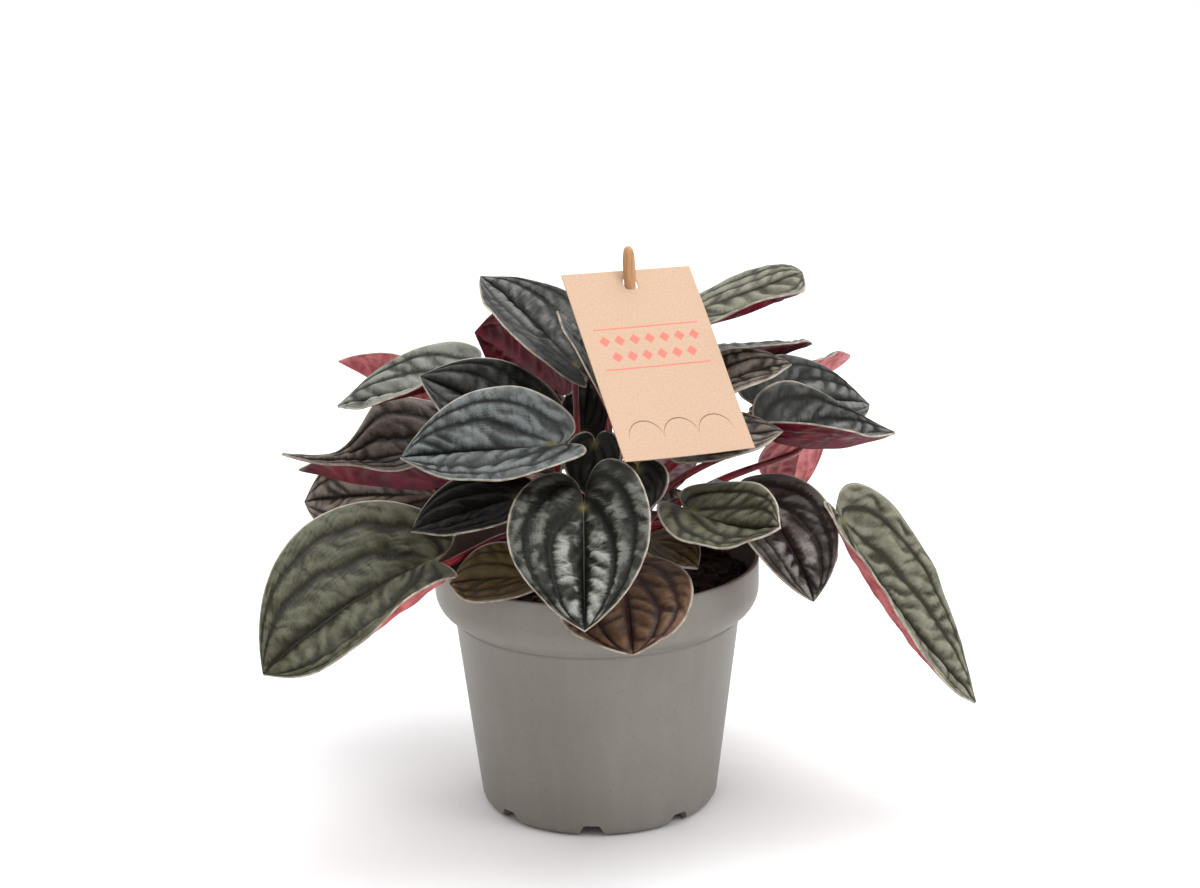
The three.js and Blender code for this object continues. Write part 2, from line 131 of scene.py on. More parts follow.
# One value for both halves of a blade, or one for the left and one for the right
Halves = float | tuple


@dataclass
class Leaf:
    """A leaf, in millimetres and degrees; left and right as seen from above, along the midrib."""

    end: tuple  # of the midrib at the stalk
    tip: tuple
    width: Halves
    roll: float = 0  # how far the upper face leans to the left
    fold: Halves = 14  # how steeply the half rises from the midrib
    cup: Halves = 8  # how much steeper it is where it is widest
    bend: float = 28  # how far the midrib turns down on its way to the tip
    twist: float = 0  # how far the left half is turned up at the tip
    lobe: Halves = 0.68  # size of the lobe beside the stalk
    point: float = 40  # between midrib and margin at the tip
    taper: float = 0  # how much narrower it gets towards the tip
    rise: float = 0.5  # how far the stalk climbs before it turns to the blade
    bow: float = 0  # how far the stalk swings aside
    look: str = "dark"
    under: str = "deep"


LEAVES = [
    # left, from the top down
    Leaf((-7, 2, 165), (-42, 34, 192), 43, roll=5, fold=18, bend=5, twist=-5, lobe=0.62, point=38),
    Leaf((6, -25, 154), (-13, -1, 186), 38, roll=-30, fold=15, cup=6, bend=0, point=36, bow=8),
    Leaf((-14, 24, 151), (-46, 66, 164), 50, roll=-80, fold=8, cup=6, bend=5, twist=8, point=50),
    Leaf((-48, 12, 160), (-95, 14, 148), 42, roll=8, fold=18, cup=14, bend=-20, twist=-10, lobe=0.5,
         point=32, look="grey"),
    Leaf((-59, 60, 132), (-101, 80, 150), 41, roll=-45, fold=18, bend=0, point=34, under="painted_backlight"),
    Leaf((-20, -12, 140), (-62, -16, 166), 42, roll=42, fold=13, bend=18, twist=-5, point=48,
         look="dim"),
    Leaf((-15, -42, 147), (-67, -52, 146), 48, roll=28, fold=20, bend=-8, twist=-12,
         lobe=(0.62, 0.55), point=42, bow=-9, look="silver"),
    Leaf((-57, 20, 132), (-114, -4, 135), (22, 56), roll=14, fold=(4, 18), cup=(6, 18), bend=-45,
         lobe=0.5, taper=0.78, look="brown"),
    Leaf((-62, 38, 110), (-115, 50, 114), 45, roll=-32, fold=16, bend=-15, point=38),
    Leaf((-64, 66, 98), (-117, 80, 92), 43, roll=50, fold=18, bend=20, twist=-4, point=60,
         look="brown"),
    Leaf((-59, -42, 105), (-113, -86, 80), (75, 68), roll=10, fold=(-12, 24), cup=(86, 14), bend=22,
         twist=-10, lobe=(0.2, 0.68), point=46, rise=0.7, look="moss", under="painted_backlight"),
    Leaf((-28, -36, 126), (-64, -54, 120), 30, roll=22, bend=5, twist=-6, look="shade"),
    # front
    Leaf((-4, -63, 130), (-4, -106, 101), (48, 53), roll=-5, bend=2, twist=-4, lobe=(1.1, 0.9),
         point=52, look="banded"),
    Leaf((0, -26, 143), (0, -36, 125), 22, roll=-15, fold=12, bend=15, point=45, look="shade"),
    Leaf((-23, -43, 99), (-52, -40, 96), 28, roll=32, cup=6, bend=10, twist=-10, lobe=0.6, point=58,
         look="olive"),
    Leaf((10, -48, 101), (12, -91, 87), 47, roll=-12, fold=8, cup=4, bend=8, twist=-6, point=70,
         look="russet"),
    Leaf((21, -26, 106), (36, -35, 99), 24, roll=-10, fold=10, bend=15, point=50, bow=-3,
         look="olive"),
    Leaf((15, -44, 138), (17, -56, 126), 20, fold=10, bend=20, bow=-3, look="shade"),
    # right
    Leaf((34, -42, 122), (62, -78, 127), 38, roll=-16, cup=10, bend=-35, twist=20, point=50, bow=-7,
         look="moss"),
    Leaf((56, -16, 119), (76, -50, 91), 42, roll=2, fold=16, cup=12, bend=38, twist=12, lobe=0.76,
         point=52, look="plum"),
    Leaf((89, -21, 111), (136, -36, 47), (56, 58), roll=-6, fold=(28, -3), cup=(-4, 56), bend=-22,
         twist=-5, lobe=0.42, point=31, bow=5, look="green", under="painted_backlight"),
    Leaf((63, -10, 141), (111, 10, 136), 48, roll=-16, fold=38, cup=12, bend=-45, lobe=0.5,
         point=28),
    Leaf((64, 18, 146), (105, 44, 138), 39, roll=-35, bend=15, lobe=0.62, point=43, bow=3),
    Leaf((49, 40, 157), (85, 76, 155), 42, roll=10, bend=-15, point=37),
    Leaf((71, 58, 141), (102, 94, 145), 40, roll=26, bend=-20, point=37, under="painted_backlight"),
    Leaf((37, -3, 155), (71, -9, 167), 30, roll=-26, bend=12, point=34, bow=-6, look="brown"),
    Leaf((34, -23, 141), (67, -23, 146), 26, roll=-30, fold=12, cup=6, bend=0, point=36,
         look="brown"),
    Leaf((29, 16, 180), (77, 18, 195), (34, 56), roll=-13, fold=(2, -23), cup=(0, 85), bend=-15,
         lobe=0.4, point=85, look="green"),
    Leaf((77, 28, 129), (76, 54, 99), 29, roll=22, fold=12, bend=0, twist=10, point=50, bow=-9,
         under="painted_backlight"),
    # back and middle
    Leaf((-20, 46, 128), (-44, 92, 118), 38),
    Leaf((4, 40, 150), (0, 96, 146), 42, look="grey"),
    Leaf((22, 43, 130), (42, 94, 119), 42),
    Leaf((-16, 56, 112), (-34, 104, 86), 40, look="banded"),
    Leaf((18, 52, 116), (32, 104, 88), 38, look="green"),
    Leaf((30, 38, 103), (46, 87, 82), 36, look="brown"),
    Leaf((58, 8, 101), (92, 36, 77), 32, look="green"),
    Leaf((-4, 10, 137), (-2, 22, 155), 20, fold=12, bend=15, point=45, look="shade"),
]


def unit(values):
    return values / np.linalg.norm(values)


def smoothstep(values, low, high):
    share = np.clip((values - low) / (high - low), 0, 1)
    return share * share * (3 - 2 * share)


def polar(radius, angle):
    return radius * cos(angle), radius * sin(angle)


# Materials -----------------------------


def light_of(colour):
    """The light of a colour given in 0 to 255 as seen."""
    seen = np.array(colour) / 255
    light = np.where(seen <= 0.04045, seen / 12.92, ((seen + 0.055) / 1.055) ** 2.4)
    return (*(float(channel) for channel in light), 1.0)


class Nodes:
    """Short names for the nodes of one node tree."""

    def __init__(self, tree):
        self.tree = tree

    def node(self, kind, inputs=None, **settings):
        made = self.tree.nodes.new(kind)
        for key, value in settings.items():
            setattr(made, key, value)
        for name, value in (inputs or {}).items():
            self.put(value, made.inputs[name])
        return made

    def put(self, value, socket):
        """Sets or links a socket; three numbers for a socket of colour are a colour as seen."""
        if isinstance(value, bpy.types.NodeSocket):
            self.tree.links.new(value, socket)
        else:
            socket.default_value = light_of(value) if socket.type == "RGBA" else value

    def place(self, output="Object"):
        return self.node("ShaderNodeTexCoord").outputs[output]

    def split(self, vector):
        return self.node("ShaderNodeSeparateXYZ", {"Vector": vector}).outputs

    def math(self, operation, first, second=0.0):
        made = self.node("ShaderNodeMath", operation=operation)
        self.put(first, made.inputs[0])
        self.put(second, made.inputs[1])
        return made.outputs[0]

    def plus(self, first, second):
        return self.math("ADD", first, second)

    def minus(self, first, second):
        return self.math("SUBTRACT", first, second)

    def times(self, first, second):
        return self.math("MULTIPLY", first, second)

    def step(self, value, low, high, to_low=0.0, to_high=1.0):
        made = self.node("ShaderNodeMapRange", interpolation_type="SMOOTHSTEP")
        for socket, item in zip(made.inputs, (value, low, high, to_low, to_high)):
            self.put(item, socket)
        return made.outputs[0]


class Shade(Nodes):
    """A node material around one Principled shader."""

    def __init__(self, name, gloss):
        self.material = bpy.data.materials.new(name)
        self.material.use_nodes = True
        super().__init__(self.material.node_tree)
        self.shader = self.tree.nodes["Principled BSDF"]
        self.put(gloss, self.shader.inputs["Specular IOR Level"])

    def attribute(self, name, output="Fac"):
        return self.node("ShaderNodeAttribute", attribute_name=name).outputs[output]

    def stretch(self, vector, scale):
        return self.node("ShaderNodeMapping", {"Vector": vector, "Scale": scale}).outputs[0]

    def noise(self, vector, scale, detail, roughness=0.5, distortion=0.0):
        inputs = dict(Vector=vector, Scale=scale, Detail=detail)
        inputs.update(Roughness=roughness, Distortion=distortion)
        return self.node("ShaderNodeTexNoise", inputs).outputs["Fac"]

    def cells(self, vector, scale):
        made = self.node("ShaderNodeTexVoronoi", {"Vector": vector, "Scale": scale})
        return made.outputs["Distance"]

    def mix(self, share, first, second):
        made = self.node("ShaderNodeMix", data_type="RGBA")
        for name, value in (("Factor_Float", share), ("A_Color", first), ("B_Color", second)):
            self.put(value, next(s for s in made.inputs if s.identifier == name))
        return next(s for s in made.outputs if s.identifier == "Result_Color")

    def paint(self, field, low, high, under, over, most=1.0):
        """Lays a colour over another: not where the field is at low, and most at high."""
        return self.mix(self.step(field, low, high, 0.0, most), under, over)

    def bump(self, height, strength, distance):
        inputs = {"Strength": strength, "Distance": distance, "Height": height}
        self.put(self.node("ShaderNodeBump", inputs).outputs[0], self.shader.inputs["Normal"])

    def finish(self, base, smooth, rough=0.0, field=None, low=0.3, high=0.7):
        """Ends the material: even, or from smooth to rough with a field."""
        roughness = smooth if field is None else self.step(field, low, high, smooth, rough)
        self.put(base, self.shader.inputs["Base Color"])
        self.put(roughness, self.shader.inputs["Roughness"])
        return self.material


MARGIN = (178, 170, 156)
LOOKS = {
    # valley: in the veins and dimples; ground: over the ridges; silver: its bloom and a painted
    # sheen on the ridge tops; amount: how much of it shows; start: where it starts in the band
    # between two veins; even: how smoothly it lies; inner: only by the midrib; gloss: of the
    # surface
    "dark": ((9, 9, 8), (32, 31, 27), (118, 119, 115), 0.9, 0.15, 0.3, True),
    "dim": ((8, 8, 7), (22, 21, 18), (74, 76, 74), 0.85, 0.15, 0.3, True),
    # the next look is a darker copy for leaves deep in the canopy: painted shade
    "shade": ((11, 10, 8), (24, 22, 18), (46, 46, 42), 0.5, 0.3, 0.5, True, 0.12),
    "silver": ((14, 17, 15), (40, 43, 40), (110, 115, 115), 0.95, 0.02, 0.6),
    "grey": ((32, 33, 27), (76, 79, 67), (144, 146, 136), 0.95, 0.02, 0.8),
    "green": ((32, 29, 14), (66, 62, 45), (131, 131, 114), 1.0, -0.06, 1),
    "moss": ((24, 22, 10), (48, 44, 26), (100, 101, 82), 0.85, 0.05, 0.7),
    "banded": ((5, 6, 3), (19, 18, 8), (150, 151, 144), 1.0, 0.34, 0.0, True, 0.12),
    "brown": ((22, 17, 13), (68, 57, 48), (134, 123, 113), 0.85, 0.05, 0.8),
    "plum": ((17, 10, 9), (43, 29, 24), (136, 132, 126), 0.85, 0.3, 0.2, True, 0.16),
    "olive": ((48, 40, 20), (84, 66, 34), (102, 95, 66), 0.4, 0.2, 1),
    "russet": ((32, 14, 8), (62, 35, 21), (124, 96, 70), 0.65, 0.15, 0.9),
}
UNDERS = {
    "deep": ((66, 5, 18), (104, 22, 36)),
    # the second pair: a paler pink copy of the deep red, painted backlight on undersides lit from
    # behind
    "painted_backlight": ((154, 60, 68), (204, 118, 118)),
}


def upper_material(name, valley, ground, silver, amount, start, even, inner=False, gloss=0.22):
    shade = Shade(f"leaf_{name}", gloss)
    blade = shade.attribute("blade", "Vector")
    band = shade.attribute("band")
    crest = shade.attribute("crest")
    teeth = shade.noise(shade.stretch(blade, (1.0, 0.35, 1.0)), 0.6, 3, 0.6, 0.4)
    patch = shade.noise(blade, 0.14, 2, 0.5)
    fine = shade.noise(blade, 1.9, 3, 0.6)
    jag = shade.times(shade.minus(teeth, 0.5), 0.8 - 0.4 * even)
    # cover: where silver lies on the ridge tops, the leaf's own bloom together with a painted sheen
    cover = shade.step(shade.plus(band, jag), start - 0.14, start + 0.24)
    cover = shade.times(cover, shade.step(shade.plus(crest, jag), 0.3, 0.9))
    cover = shade.times(cover, shade.step(patch, 0.38, 0.56, 0.1 + 0.5 * even, 1.0))
    cover = shade.times(cover, shade.step(fine, 0.25, 0.6, 0.55 * amount, amount))
    if inner:
        cover = shade.times(cover, shade.attribute("inside"))
    raised = shade.plus(crest, shade.times(jag, 0.5))
    base = shade.paint(raised, 0.16, 0.8, valley, ground)
    base = shade.mix(cover, base, silver)
    base = shade.paint(teeth, 0.42, 0.28, base, valley, 0.45)
    base = shade.mix(shade.times(shade.attribute("rib"), 0.35), base, silver)
    base = shade.mix(shade.attribute("heart"), base, (112, 104, 64))
    edge = shade.times(shade.attribute("edge"), shade.step(patch, 0.32, 0.56, 0.4, 1.0))
    base = shade.mix(edge, base, MARGIN)
    shade.bump(shade.plus(teeth, shade.times(fine, 0.6)), 0.5, 0.0006)
    return shade.finish(base, 0.3, 0.44, shade.plus(patch, fine), 0.7, 1.3)


def under_material(name):
    deep, light = UNDERS[name]
    shade = Shade(f"underside_{name}", gloss=0.2)
    blade = shade.attribute("blade", "Vector")
    patch = shade.noise(blade, 0.16, 3, 0.55)
    fine = shade.noise(blade, 1.6, 3, 0.6)
    crest = shade.attribute("crest")
    base = shade.paint(patch, 0.3, 0.7, deep, light)
    base = shade.paint(crest, 0.3, 0.0, base, light, 0.7)
    base = shade.paint(fine, 0.5, 0.75, base, deep, 0.25)
    base = shade.mix(shade.attribute("edge"), base, MARGIN)
    shade.bump(fine, 0.25, 0.0004)
    return shade.finish(base, 0.38, 0.5, patch)


def margin_material():
    shade = Shade("leaf_margin", gloss=0.4)
    blot = shade.noise(shade.place(), 260, 2)
    base = shade.paint(blot, 0.35, 0.65, MARGIN, (132, 118, 104))
    return shade.finish(base, 0.45, 0.6, blot)


def stalk_material():
    shade = Shade("stalk", gloss=0.5)
    place = shade.place()
    streak = shade.noise(shade.stretch(place, (1, 1, 0.25)), 420, 3)
    patch = shade.noise(place, 60, 2)
    base = shade.paint(patch, 0.3, 0.7, (92, 16, 26), (150, 34, 44))
    base = shade.paint(streak, 0.5, 0.8, base, (176, 84, 80), 0.4)
    shade.bump(streak, 0.3, 0.0003)
    return shade.finish(base, 0.3, 0.45, streak)


def pot_material():
    shade = Shade("pot_plastic", gloss=0.4)
    place = shade.place()
    cloud = shade.noise(place, 24, 3)
    grain = shade.noise(place, 900, 2)
    flow = shade.noise(shade.stretch(place, (1, 1, 0.08)), 160, 2)
    base = shade.paint(cloud, 0.3, 0.7, (119, 115, 107), (127, 123, 115))
    base = shade.paint(flow, 0.45, 0.75, base, (137, 133, 124), 0.25)
    base = shade.paint(grain, 0.6, 0.75, base, (96, 92, 84), 0.35)
    shade.bump(shade.plus(grain, shade.times(flow, 0.6)), 0.25, 0.0003)
    return shade.finish(base, 0.42, 0.52, cloud)


def soil_material():
    shade = Shade("potting_soil", gloss=0.25)
    place = shade.place()
    lump = shade.noise(place, 160, 4, 0.65)
    fibre = shade.noise(shade.stretch(place, (1, 0.25, 1)), 700, 3, 0.6, 1.5)
    base = shade.paint(lump, 0.35, 0.7, (29, 21, 17), (62, 45, 35))
    base = shade.paint(fibre, 0.58, 0.75, base, (84, 60, 44), 0.6)
    base = shade.mix(shade.attribute("tint"), base, (104, 76, 54))
    shade.bump(shade.plus(lump, fibre), 0.8, 0.0008)
    return shade.finish(base, 0.75, 0.95, lump)


def crown_material():
    shade = Shade("crown", gloss=0.35)
    place = shade.place()
    lump = shade.noise(place, 220, 4, 0.6)
    scale = shade.cells(place, 420)
    base = shade.paint(lump, 0.3, 0.7, (52, 16, 18), (96, 38, 34))
    base = shade.paint(scale, 0.3, 0.6, base, (112, 74, 52), 0.5)
    shade.bump(shade.plus(lump, scale), 0.6, 0.0008)
    return shade.finish(base, 0.5, 0.7, lump)


def wood_material():
    shade = Shade("stick_wood", gloss=0.3)
    grain = shade.attribute("grain", "Vector")
    rings = shade.noise(shade.stretch(grain, (0.9, 0.9, 0.05)), 1.6, 4, 0.6, 0.6)
    fine = shade.noise(shade.stretch(grain, (3, 3, 0.12)), 3.0, 3, 0.6)
    base = shade.paint(rings, 0.35, 0.7, (196, 152, 112), (166, 120, 82))
    base = shade.paint(fine, 0.55, 0.75, base, (128, 84, 54), 0.5)
    shade.bump(shade.plus(rings, fine), 0.4, 0.0003)
    return shade.finish(base, 0.6, 0.78, fine)


# The card's design, in millimetres down from its top edge and aside from its middle
DESIGN_REACH = 21.0
LOZENGE_PERIOD = 6.0
LOZENGE_SIZE = 2.2
LOZENGE_ROWS = ((28.0, 0.0, 21.0), (34.5, 3.0, 18.0))  # how far down, moved aside, reach
RULES = (23.2, 39.3)
RULE_HALF = 0.28
SCALLOP_WIDTH = 14.0
SCALLOP_FOOT = 67.0
SCALLOP_LINE = 0.22
RED_INK = (222, 122, 110)
GREY_INK = (118, 92, 74)


def card_material(printed):
    shade = Shade("kraft_card_print" if printed else "kraft_card", gloss=0.2)
    sheet = shade.attribute("sheet", "Vector")
    pulp = shade.noise(sheet, 1.3, 4, 0.6)
    fibre = shade.noise(shade.stretch(sheet, (0.22, 1, 1)), 3.2, 3, 0.6, 0.8)
    base = shade.paint(pulp, 0.3, 0.7, (199, 170, 146), (190, 160, 136))
    base = shade.paint(fibre, 0.6, 0.8, base, (168, 132, 104), 0.35)
    if printed:
        for ink, mask in card_design(shade, sheet):
            worn = shade.times(mask, shade.step(pulp, 0.3, 0.5, 0.75, 0.95))
            base = shade.mix(worn, base, ink)
    shade.bump(shade.plus(pulp, fibre), 0.35, 0.0002)
    return shade.finish(base, 0.8, 0.92, pulp)


def card_design(shade, sheet):
    """Two rows of lozenges between fine rules, and a row of scallops below: (ink, mask) pairs."""
    right, down, _ = shade.split(sheet)
    beside = shade.minus(right, CARD_WIDTH / 2)

    def near(value, middle, reach):
        return shade.math("LESS_THAN", shade.math("ABSOLUTE", shade.minus(value, middle)), reach)

    def wave(value, period):
        """Distance to the nearest whole number of periods, from 0 to half a period."""
        return shade.math("PINGPONG", shade.math("ABSOLUTE", value), period / 2)

    def lozenges(height, shift, reach):
        aside = wave(shade.plus(beside, shift), LOZENGE_PERIOD)
        beyond = shade.math("ABSOLUTE", shade.minus(down, height))
        shape = shade.math("LESS_THAN", shade.plus(aside, beyond), LOZENGE_SIZE)
        return shade.times(shape, near(beside, 0.0, reach))

    inside = near(beside, 0.0, DESIGN_REACH)
    rows = shade.math("MAXIMUM", *(lozenges(*row) for row in LOZENGE_ROWS))
    rules = shade.math("MAXIMUM", *(near(down, height, RULE_HALF) for height in RULES))
    arch = wave(beside, SCALLOP_WIDTH)
    bow = shade.math("SQRT", shade.minus((SCALLOP_WIDTH / 2) ** 2, shade.times(arch, arch)))
    scallops = near(shade.minus(SCALLOP_FOOT, down), bow, SCALLOP_LINE)
    masks = ((RED_INK, rows), (RED_INK, rules), (GREY_INK, scallops))
    return [(ink, shade.times(mask, inside)) for ink, mask in masks]


# Meshes --------------------------------


def added(name, data):
    made = bpy.data.objects.new(name, data)
    bpy.context.scene.collection.objects.link(made)
    return made


def piece(name, points, faces, materials, indices=None):
    """A mesh object from points in millimetres."""
    mesh = bpy.data.meshes.new(name)
    mesh.from_pydata((np.asarray(points) * MM).tolist(), [], faces)
    for material in materials:
        mesh.materials.append(material)
    if indices is not None:
        mesh.polygons.foreach_set("material_index", np.asarray(indices, np.int32))
    mesh.polygons.foreach_set("use_smooth", np.ones(len(mesh.polygons), bool))
    mesh.validate()
    return added(name, mesh)


@contextmanager
def edited(made):
    """A piece's mesh, open for changes and written back after them."""
    mesh = bmesh.new()
    mesh.from_mesh(made.data)
    yield mesh
    mesh.to_mesh(made.data)
    mesh.free()


def write(made, name, values):
    """Gives the points of a piece a field: a number each, or a vector each."""
    kind, key = ("FLOAT", "value") if values.ndim == 1 else ("FLOAT_VECTOR", "vector")
    attribute = made.data.attributes.new(name, kind, "POINT")
    attribute.data.foreach_set(key, values.astype(np.float32).ravel())


def stand_for(made, node):
    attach(made, "root")
    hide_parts(node)


def band_faces(lower, upper):
    """The faces between two rings of points; a ring of one point is a pole."""
    size = max(len(lower), len(upper))
    faces = []
    for k in range(size):
        nxt = (k + 1) % size
        if len(lower) == 1:
            faces.append((lower[0], upper[nxt], upper[k]))
        elif len(upper) == 1:
            faces.append((lower[k], lower[nxt], upper[0]))
        else:
            faces.append((lower[k], lower[nxt], upper[nxt], upper[k]))
    return faces


def lathe(profile, segments):
    """Points and faces of a profile of (radius, height) turned about Z; radius 0 is a pole."""
    points = []
    faces = []
    rings = []
    for radius, height in profile:
        size = segments if radius > 1e-6 else 1
        rings.append(range(len(points), len(points) + size))
        points += [(*polar(radius, 2 * pi * k / segments), height) for k in range(size)]
    for lower, upper in zip(rings, rings[1:]):
        faces += band_faces(lower, upper)
    return np.array(points), faces


def tube(path, radii, sides):
    """Points and faces of a closed tube along a path, with its own radius at each point."""
    path = np.asarray(path, float)
    ways = np.gradient(path, axis=0)
    ways /= np.linalg.norm(ways, axis=1)[:, None]
    across = unit(np.cross(ways[0], [0.3, 0.9, 0.1]))
    points = []
    faces = []
    for centre, way, radius in zip(path, ways, radii):
        across = unit(across - way * np.dot(across, way))
        other = np.cross(way, across)
        for k in range(sides):
            angle = 2 * pi * k / sides
            points.append(centre + radius * (cos(angle) * across + sin(angle) * other))
    rings = [range(start, start + sides) for start in range(0, len(points), sides)]
    for lower, upper in zip(rings, rings[1:]):
        faces += band_faces(lower, upper)
    faces += band_faces([len(points)], rings[0]) + band_faces(rings[-1], [len(points) + 1])
    points += [path[0], path[-1]]
    return np.array(points), faces


# Leaves --------------------------------


def outline(along, across, lobe, point):
    """A blade laid flat, stalk at (0, 0) and tip at (1, 0); across runs from -1 to 1."""
    leave = radians(LOBE_ANGLE)
    arrive = radians(point)
    rest = 1 - along
    near = 3 * rest * rest * along
    far = 3 * rest * along * along
    midrib = near * MIDRIB_HANDLES[0] + far * (1 - MIDRIB_HANDLES[1]) + along**3
    margin = near * lobe * np.cos(leave) + far * (1 - TIP_HANDLE * np.cos(arrive)) + along**3
    reach = near * lobe * np.sin(leave) + far * TIP_HANDLE * np.sin(arrive)
    return midrib + (margin - midrib) * np.abs(across), reach * across


def halves(value):
    """A leaf's value for its left half and its right half."""
    return value if isinstance(value, tuple) else (value, value)


def blade_axes(leaf):
    end = np.array(leaf.end, float)
    forward = np.array(leaf.tip, float) - end
    length = np.linalg.norm(forward)
    forward /= length
    upright = unit(np.array([0, 0, 1.0]) - forward * forward[2])
    left = np.cross(upright, forward)
    roll = radians(leaf.roll)
    up = upright * cos(roll) + left * sin(roll)
    return end, forward, up, np.cross(up, forward), length


def blade_points(leaf, along, across, lift):
    """Points of the blade at (along, across), lifted off its middle surface, and where they lie
    on it laid flat, along the midrib and aside from it; all in millimetres."""
    end, forward, up, side, length = blade_axes(leaf)
    steps = np.linspace(0, 1, 101)

    def own(value, factor=1.0):
        left, right = halves(value)
        return np.where(across > 0, left * factor, right * factor)

    def widest(lobe):
        return outline(steps, np.ones_like(steps), lobe, leaf.point)[1].max()

    x, y = outline(along, across, own(leaf.lobe), leaf.point)
    half = own(leaf.width, 0.5)
    fold = own(leaf.fold, pi / 180)
    cup = own(leaf.cup, pi / 180)
    cup = np.where(np.abs(cup) < LEAST_TURN, LEAST_TURN, cup) / half
    bend = radians(leaf.bend) or LEAST_TURN
    curve = bend / length
    chord = length / (2 * sin(bend / 2) / curve)
    slope = bend / 2 - curve * x * length
    reach = chord * (sin(bend / 2) - np.sin(slope)) / curve
    height = chord * (np.cos(slope) - cos(bend / 2)) / curve
    spread = half / own(tuple(widest(lobe) for lobe in halves(leaf.lobe)))
    flat = np.abs(y) * spread * (1 - leaf.taper * smoothstep(x, *TAPER_SPAN))
    steep = fold + cup * flat
    lean = steep * smoothstep(flat, 0.0, 4.0)
    out = np.sign(y) * ((np.sin(steep) - np.sin(fold)) / cup - lift * np.sin(lean))
    rise = (np.cos(fold) - np.cos(steep)) / cup + lift * np.cos(lean)
    twist = radians(leaf.twist) * np.maximum(x, -0.3)
    sideways = out * np.cos(twist) - rise * np.sin(twist)
    upwards = out * np.sin(twist) + rise * np.cos(twist)
    points = (
        end
        + (reach - upwards * np.sin(slope))[..., None] * forward
        + (height + upwards * np.cos(slope))[..., None] * up
        + sideways[..., None] * side
    )
    return points, x * length, np.sign(y) * flat


def ripple(rng, x, y, period):
    """Gentle noise from -1 to 1 over a blade."""
    total = np.zeros_like(x)
    for _ in range(4):
        angle = rng.uniform(0, 2 * pi)
        pace = 2 * pi / (period * rng.uniform(0.7, 1.6))
        phase = rng.uniform(0, 2 * pi)
        total += np.sin(pace * (x * cos(angle) + y * sin(angle)) + phase)
    return total / 4


def margin_distance(x, y):
    """How far each point of a blade laid flat is from its margin."""
    margin = np.concatenate([np.stack([x[:, k], y[:, k]], -1) for k in (0, -1)])
    gaps = np.hypot(x[..., None] - margin[:, 0], y[..., None] - margin[:, 1])
    return gaps.min(axis=-1)


def blade_relief(leaf, along, across, rng):
    """Height of the ridges between the sunken veins, and the fields that the materials read."""
    _, x, y = blade_points(leaf, along, across, np.zeros_like(along))
    part = np.abs(across)
    faded = smoothstep(1 - along, 0.0, 0.4)
    wander = VEIN_WANDER * ripple(rng, x, y, VEIN_PERIOD) * np.sin(pi * part) * faded
    veined = np.clip(part + wander, 0, 1)
    outermost = len(VEINS) - 2
    band = np.clip(np.searchsorted(VEINS, veined, side="right") - 1, 0, outermost)
    breadth = VEINS[band + 1] - VEINS[band]
    share = (veined - VEINS[band]) / breadth
    ridge = np.sin(pi * np.clip(share, 0, 1)) ** 0.6
    reach = np.abs(y[:, :1]) * (across < 0) + np.abs(y[:, -1:]) * (across >= 0)
    wobble = ripple(rng, x, y, 16) * DIMPLE_WOBBLE
    slant = (x - DIMPLE_SLANT * np.abs(y) + wobble) / DIMPLE_PERIOD
    phase = slant + 0.37 * band + 0.5 * (across < 0)
    dimple = (0.5 + 0.5 * np.cos(2 * pi * phase)) * (0.75 + 0.7 * ripple(rng, x, y, 15))
    swell = 1 - DIMPLE_DEPTH * np.clip(dimple, 0, 1) * ridge**0.7
    bloom = np.where((band == outermost) & (share > 0.5), 1.0, ridge) * swell
    soft = smoothstep(along, 0.0, 0.12) * smoothstep(1 - along, 0.0, 0.1)
    relief = ridge * swell * np.minimum(breadth * reach * RIDGE_SLOPE, RIDGE_HEIGHT) * soft
    relief *= smoothstep(1 - part, 0.0, 0.06)
    relief += ripple(rng, x, y, WAVE_PERIOD) * WAVE_HEIGHT * part**3 * soft
    relief += SWELL_HEIGHT * ripple(rng, x, y, SWELL_PERIOD) * soft
    edge = 1 - smoothstep(margin_distance(x, y), 0.1, 0.62)
    sinus = (1 - smoothstep(np.abs(y), 0.5, 4.0)) * (x < 0)
    fields = {
        "band": share + 0.3 * smoothstep(along, 0.5, 0.95),
        "crest": bloom,
        "edge": edge * (1 - 0.75 * sinus),
        "rib": np.exp(-((y / 0.16) ** 2)) * smoothstep(1 - along, 0.25, 0.85),
        "inside": smoothstep(along, 0.06, 0.5) * (1 - 0.6 * smoothstep(part, 0.4, 0.7)),
        "heart": 0.65 * np.exp(-(x**2 + y**2) / 1.8**2),
    }
    return relief, fields, x, y


def stalk_path(leaf, place):
    """The middle of the stalk, from just above the crown up to the blade."""
    end, forward, up, _, _ = blade_axes(leaf)
    tilt = radians(leaf.bend) / 2
    along = forward * cos(tilt) + up * sin(tilt)
    above = -forward * sin(tilt) + up * cos(tilt)
    radius = hypot(*place)
    start = np.array([*place, crown_height(max(radius - STALK_FOOTING, 0)) + GAP])
    way = end - start
    reach = np.linalg.norm(way)
    swing = unit(np.array([-way[1], way[0], 0])) * leaf.bow
    lean = np.array([way[0], way[1], 0]) * STALK_LEAN * leaf.rise
    first = start + np.array([0, 0, reach * leaf.rise]) + lean + swing
    second = end + LATE_SWING * swing - STALK_BEHIND * reach * along - STALK_BELOW * reach * above
    last = end - 0.45 * above
    share = np.linspace(0, 1, STALK_STEPS)[:, None]
    rest = 1 - share
    path = rest**3 * start + 3 * rest**2 * share * first
    return path + 3 * rest * share**2 * second + share**3 * last


